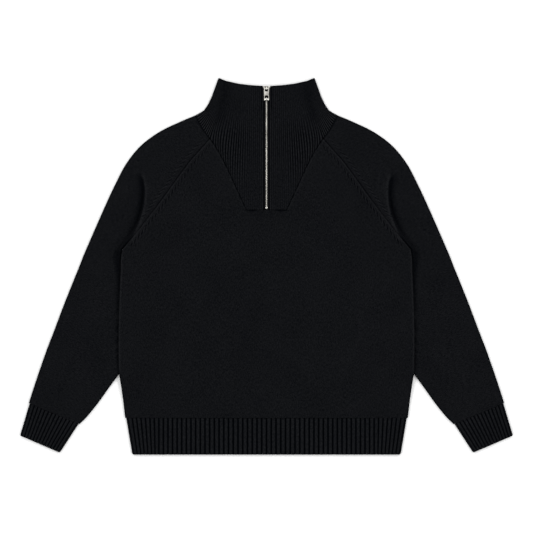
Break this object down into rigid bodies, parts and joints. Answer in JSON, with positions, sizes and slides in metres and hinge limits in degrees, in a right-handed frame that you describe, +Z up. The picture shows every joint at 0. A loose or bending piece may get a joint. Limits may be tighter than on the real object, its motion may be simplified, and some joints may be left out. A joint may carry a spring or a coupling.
{
  "type": "quarter zip sweatshirt",
  "caption": "Knitted quarter zip sweatshirt laid out flat, with raglan sleeves, ribbed funnel collar, cuffs and hem, and a short metal zip with a pull tab that lifts.",
  "frame": {"origin": "on the surface that the garment lies on, below the middle of its box", "axes": "+X to the side, along the spread sleeves; +Y to the collar; +Z up from the surface, out of the front"},
  "size_m": [0.9852, 0.7539, 0.0137],
  "materials": {
    "knit": "matt black fine-gauge knit",
    "rib": "matt black ribbed knit",
    "tape": "black woven zip tape",
    "zip_metal": "polished warm silver metal"
  },
  "bodies": {
    "garment": {"front_panel": "knit", "back_panel": "knit", "sleeve_right": "knit", "sleeve_left": "knit", "hem_rib": "rib", "cuff_right": "rib", "cuff_left": "rib", "collar_right": "rib", "collar_left": "rib", "collar_back": "rib", "zip_tape_right": "tape", "zip_tape_left": "tape", "zip_chain": "zip_metal", "zip_bottom_stop": "zip_metal", "zip_slider": "zip_metal"},
    "tab": {"pull_tab": "zip_metal"}
  },
  "joints": [
    {"name": "pull_tab_hinge", "type": "hinge", "parent": "garment", "child": "tab", "pos_m": [0, 0.3555, 0.0101], "axis": [-1, 0, 0], "range_deg": [0, 165]}
  ]
}
